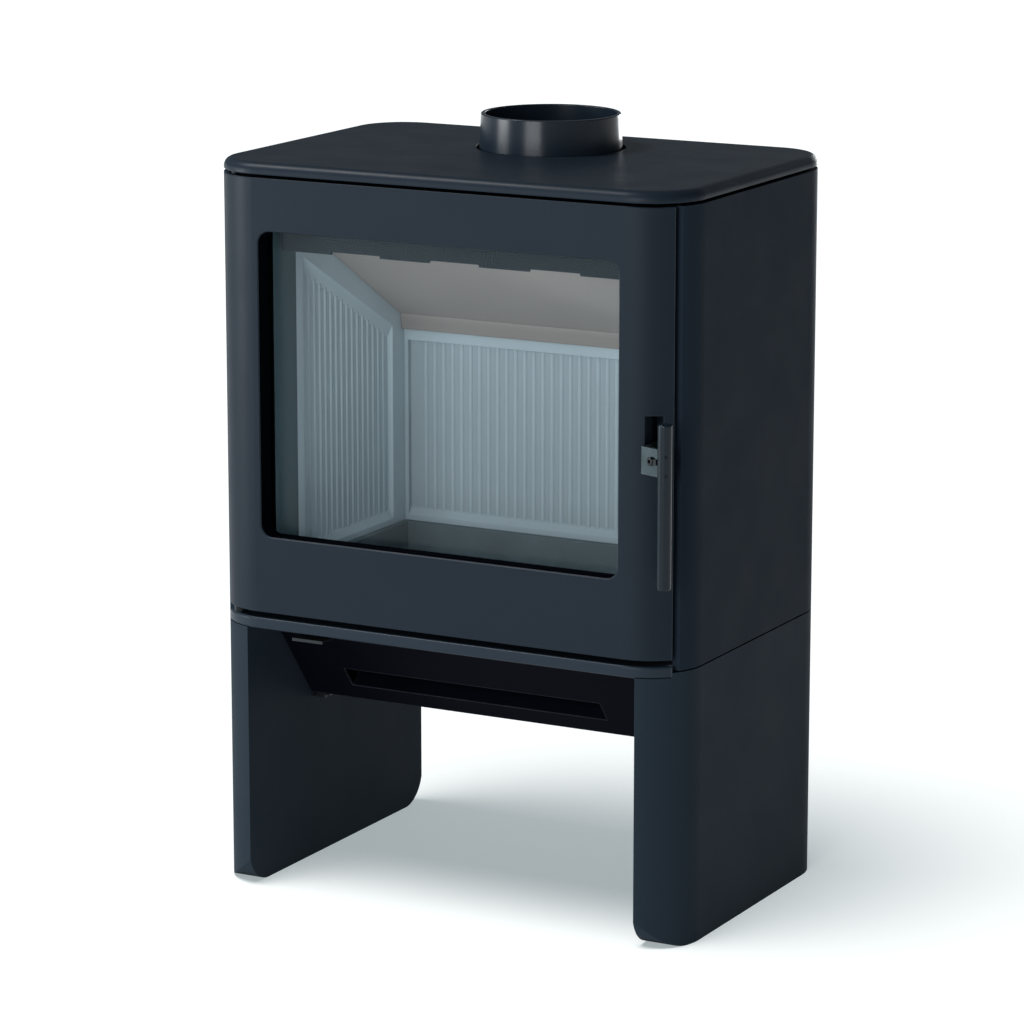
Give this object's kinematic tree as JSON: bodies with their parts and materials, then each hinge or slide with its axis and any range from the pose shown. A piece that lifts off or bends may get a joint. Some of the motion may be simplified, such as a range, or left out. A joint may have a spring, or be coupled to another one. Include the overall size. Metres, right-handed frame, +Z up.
{
  "type": "wood burning stove",
  "caption": "Cast-iron and steel wood burning stove on an open bench, with a glazed hinged door, lift latch, ribbed firebox, ash drawer, air lever and flue collar.",
  "frame": {"origin": "on the floor under the middle of the whole stove, handle included", "axes": "+X to the right seen from the front, +Y towards the back, +Z up"},
  "size_m": [0.54, 0.3872, 0.801],
  "materials": {
    "leg_left": "matt anthracite paint",
    "leg_right": "matt anthracite paint",
    "base_plate": "matt anthracite paint",
    "leg_bolts": "zinc plated",
    "side_panel_left": "matt anthracite paint",
    "side_panel_right": "matt anthracite paint",
    "back_panel": "matt dark paint",
    "back_screws": "blackened",
    "panel_spacers": "bare steel",
    "top_plate": "matt anthracite paint",
    "top_spacers": "bare steel",
    "flue_collar": "matt anthracite paint",
    "collar_bolts": "zinc plated",
    "firebox_shell": "bare dark steel",
    "front_frame": "matt dark paint",
    "striker_pin": "turned",
    "hearth_tray": "bare iron grey",
    "grate": "bare iron grey",
    "liner_rear": "pale grey fire board",
    "liner_left": "pale grey fire board",
    "liner_right": "pale grey fire board",
    "baffle": "tan vermiculite board",
    "air_wash_deflector": "heat-dulled steel",
    "hinge_pin_top": "turned",
    "hinge_pin_bottom": "turned",
    "hinge_washer": "turned",
    "ash_chute": "dark sheet",
    "drawer_runner_left": "dark zinc",
    "drawer_runner_right": "dark zinc",
    "runner_bolts": "zinc plated",
    "air_slide_guides": "dark sheet",
    "door_frame": "matt anthracite paint",
    "door_glass": "clear ceramic glass",
    "glass_tape": "woven glass tape",
    "door_seal": "black glass rope",
    "glass_clips": "stamped",
    "clip_screws": "zinc plated",
    "latch_bracket": "stamped",
    "bracket_screws": "zinc plated",
    "latch_pivot": "turned",
    "latch_arm": "satin steel",
    "arm_bolt": "blackened",
    "handle_rod": "satin anthracite",
    "handle_screws": "blackened",
    "ash_drawer_front": "satin anthracite",
    "ash_pan": "dark steel sheet",
    "air_lever": "dark satin steel"
  },
  "bodies": {
    "stove": {"leg_left": "leg_left", "leg_right": "leg_right", "base_plate": "base_plate", "leg_bolts": "leg_bolts", "side_panel_left": "side_panel_left", "side_panel_right": "side_panel_right", "back_panel": "back_panel", "back_screws": "back_screws", "panel_spacers": "panel_spacers", "top_plate": "top_plate", "top_spacers": "top_spacers", "flue_collar": "flue_collar", "collar_bolts": "collar_bolts", "firebox_shell": "firebox_shell", "front_frame": "front_frame", "striker_pin": "striker_pin", "hearth_tray": "hearth_tray", "grate": "grate", "liner_rear": "liner_rear", "liner_left": "liner_left", "liner_right": "liner_right", "baffle": "baffle", "air_wash_deflector": "air_wash_deflector", "hinge_pin_top": "hinge_pin_top", "hinge_pin_bottom": "hinge_pin_bottom", "hinge_washer": "hinge_washer", "ash_chute": "ash_chute", "drawer_runner_left": "drawer_runner_left", "drawer_runner_right": "drawer_runner_right", "runner_bolts": "runner_bolts", "air_slide_guides": "air_slide_guides"},
    "door": {"door_frame": "door_frame", "door_glass": "door_glass", "glass_tape": "glass_tape", "door_seal": "door_seal", "glass_clips": "glass_clips", "clip_screws": "clip_screws", "latch_bracket": "latch_bracket", "bracket_screws": "bracket_screws", "latch_pivot": "latch_pivot"},
    "latch": {"latch_arm": "latch_arm", "arm_bolt": "arm_bolt", "handle_rod": "handle_rod", "handle_screws": "handle_screws"},
    "ash_drawer": {"ash_drawer_front": "ash_drawer_front", "ash_pan": "ash_pan"},
    "air_lever": {"air_lever": "air_lever"}
  },
  "joints": [
    {"name": "door_hinge", "type": "hinge", "parent": "stove", "child": "door", "pos_m": [-0.2412, -0.15698, 0.524], "axis": [0, 0, -1], "range_deg": [0, 110]},
    {"name": "latch_lift", "type": "hinge", "parent": "door", "child": "latch", "pos_m": [0.2357, -0.14638, 0.502], "axis": [-1, 0, 0], "range_deg": [0, 25]},
    {"name": "drawer_slide", "type": "slide", "parent": "stove", "child": "ash_drawer", "axis": [0, -1, 0], "range_m": [0, 0.16]},
    {"name": "air_slide", "type": "slide", "parent": "stove", "child": "air_lever", "axis": [1, 0, 0], "range_m": [0, 0.06]}
  ]
}
